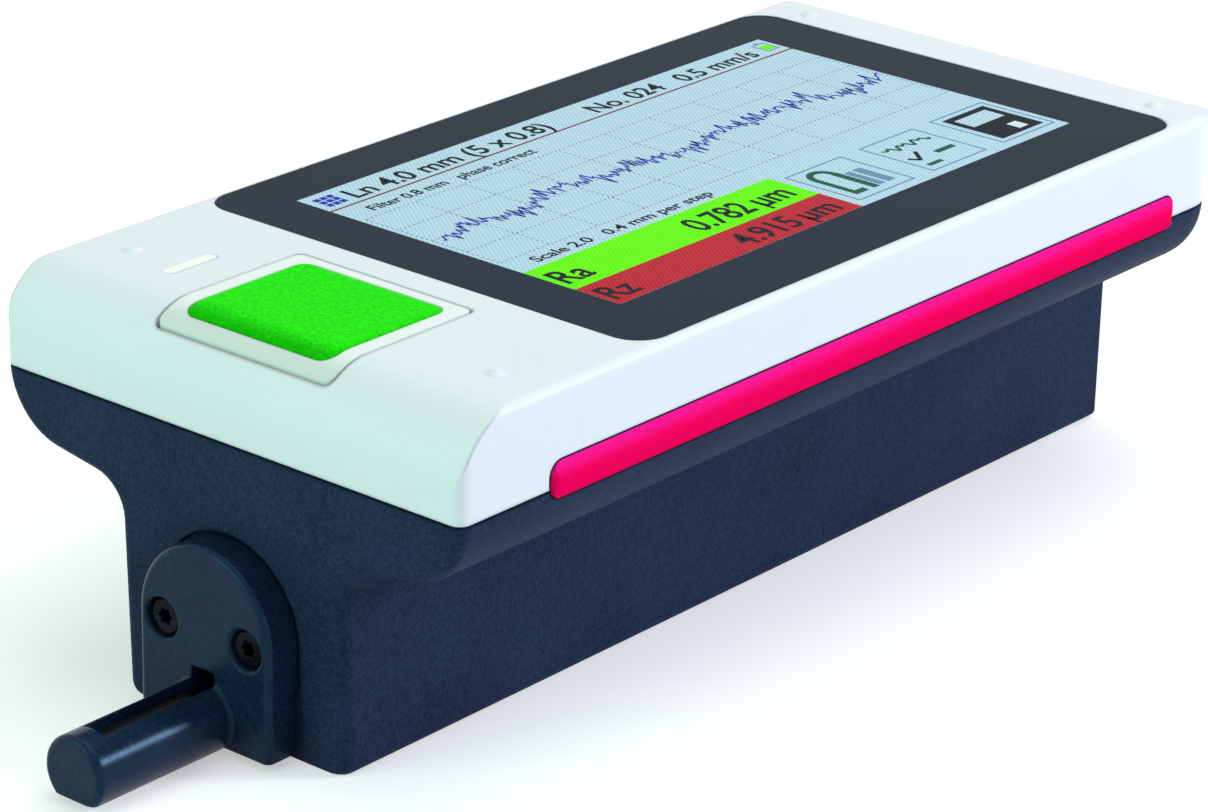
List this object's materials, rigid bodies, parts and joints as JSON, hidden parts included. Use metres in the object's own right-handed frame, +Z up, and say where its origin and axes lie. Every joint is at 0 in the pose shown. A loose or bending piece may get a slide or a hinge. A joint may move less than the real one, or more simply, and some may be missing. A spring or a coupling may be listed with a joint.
{
  "type": "surface roughness tester",
  "caption": "Hand-held surface roughness tester with a display on top, a start key, a drive box below and a sliding stylus pick-up inside a slotted guard.",
  "frame": {"origin": "on the flat base of the drive box, under the middle of the two shells", "axes": "+Z up, -Y towards the pick-up, +X to the right when looking along +Y"},
  "size_m": [0.077, 0.1848, 0.0521],
  "materials": {
    "housing_dark": "fine moulded texture",
    "housing_white": "satin",
    "strip_red": "gloss",
    "cover_glass": "printed behind, gloss",
    "display": "lit",
    "key_white": "satin",
    "key_green": "soft satin",
    "silicone": "matt",
    "light_pipe": "frosted",
    "guard_metal": "satin black oxide",
    "screw_black": "black oxide",
    "screw_steel": "zinc plated",
    "board": "solder mask",
    "socket_metal": "plated",
    "battery": "shrink film",
    "frame_metal": "cast, machined seats",
    "steel": "ground",
    "bronze": "sintered",
    "black_plastic": "matt"
  },
  "bodies": {
    "housing": {"lower_shell": "housing_dark", "upper_shell": "housing_white", "side_strip_left": "strip_red", "side_strip_right": "strip_red", "cover_glass": "cover_glass", "display_panel": "display", "key_dome": "silicone", "status_light": "light_pipe", "pickup_guard": "guard_metal", "guard_screws": "screw_black", "case_screws": "screw_steel", "main_board": "board", "board_screws": "screw_steel", "data_socket": "socket_metal", "card_socket": "socket_metal", "battery_pack": "battery", "drive_frame": "frame_metal", "guide_rod_left": "steel", "guide_rod_right": "steel", "front_bearing": "steel", "rear_bearing": "steel", "gear_motor": "steel", "motor_screws": "screw_steel", "home_switch": "black_plastic"},
    "key": {"start_key": "key_white", "key_pad": "key_green"},
    "slide": {"carriage": "frame_metal", "guide_bushes": "bronze", "lead_nut": "bronze", "pickup_holder": "black_plastic", "pickup_body": "black_plastic", "skid": "steel", "stylus_pin": "steel"},
    "spindle": {"lead_screw": "steel", "shaft_coupling": "frame_metal", "motor_shaft": "steel"},
    "stylus": {"stylus_lever": "steel", "stylus_tip": "steel"}
  },
  "joints": [
    {"name": "key_press", "type": "slide", "parent": "housing", "child": "key", "axis": [0, 0, -1], "range_m": [0, 0.0008], "stiffness_N_per_m": 1500, "springref_m": -0.0005, "deforming": ["key_dome"]},
    {"name": "traverse", "type": "slide", "parent": "housing", "child": "slide", "axis": [0, 1, 0], "range_m": [0, 0.0175]},
    {"name": "spindle_turn", "type": "hinge", "parent": "housing", "child": "spindle", "pos_m": [0, 0, 0.018], "axis": [0, 1, 0], "range_deg": [-1576, 0]},
    {"name": "stylus_rock", "type": "hinge", "parent": "slide", "child": "stylus", "pos_m": [0, -0.0861, 0.0044], "axis": [1, 0, 0], "range_deg": [-0.75, 0.75], "stiffness_Nm_per_rad": 0.002, "springref_deg": -0.11}
  ],
  "couplings": [
    {"joint": "spindle_turn", "follows": "traverse", "rad_per_m": -1570.8}
  ]
}
